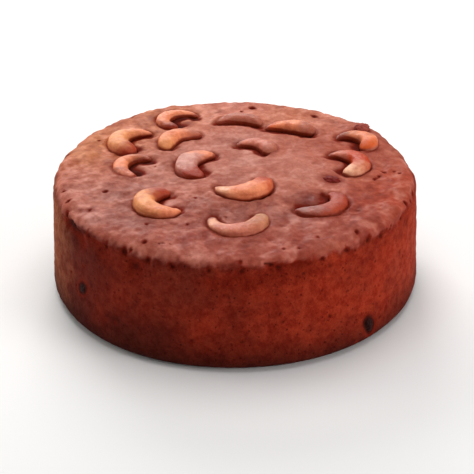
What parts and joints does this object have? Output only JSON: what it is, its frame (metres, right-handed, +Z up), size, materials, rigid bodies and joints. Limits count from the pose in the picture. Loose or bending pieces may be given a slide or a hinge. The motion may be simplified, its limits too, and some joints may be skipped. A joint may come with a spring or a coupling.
{
  "type": "fruit cake",
  "caption": "Round uncut fruit cake with a browned, slightly domed top, cashew halves and whole cashews baked into the crust, raisins at the surface and a straight crumbly wall.",
  "frame": {"origin": "centre of the flat base, on the surface the cake rests on", "axes": "+Z up; -Y towards the viewer, the side the raisins in the wall are nearest; +X to the right"},
  "size_m": [0.183, 0.183, 0.0663],
  "materials": {
    "crust": "matt baked crust",
    "cashew": "satin toasted nut",
    "raisin": "satin dried fruit"
  },
  "bodies": {
    "root": {"cake": "crust", "cashew_01": "cashew", "cashew_02": "cashew", "cashew_03": "cashew", "cashew_04": "cashew", "cashew_05": "cashew", "cashew_06": "cashew", "cashew_07": "cashew", "cashew_08": "cashew", "cashew_09": "cashew", "cashew_10": "cashew", "cashew_11": "cashew", "cashew_12": "cashew", "cashew_13": "cashew", "cashew_14": "cashew", "raisin_edge": "raisin", "raisin_top": "raisin", "raisin_wall_left": "raisin", "raisin_wall_right": "raisin"}
  },
  "joints": []
}
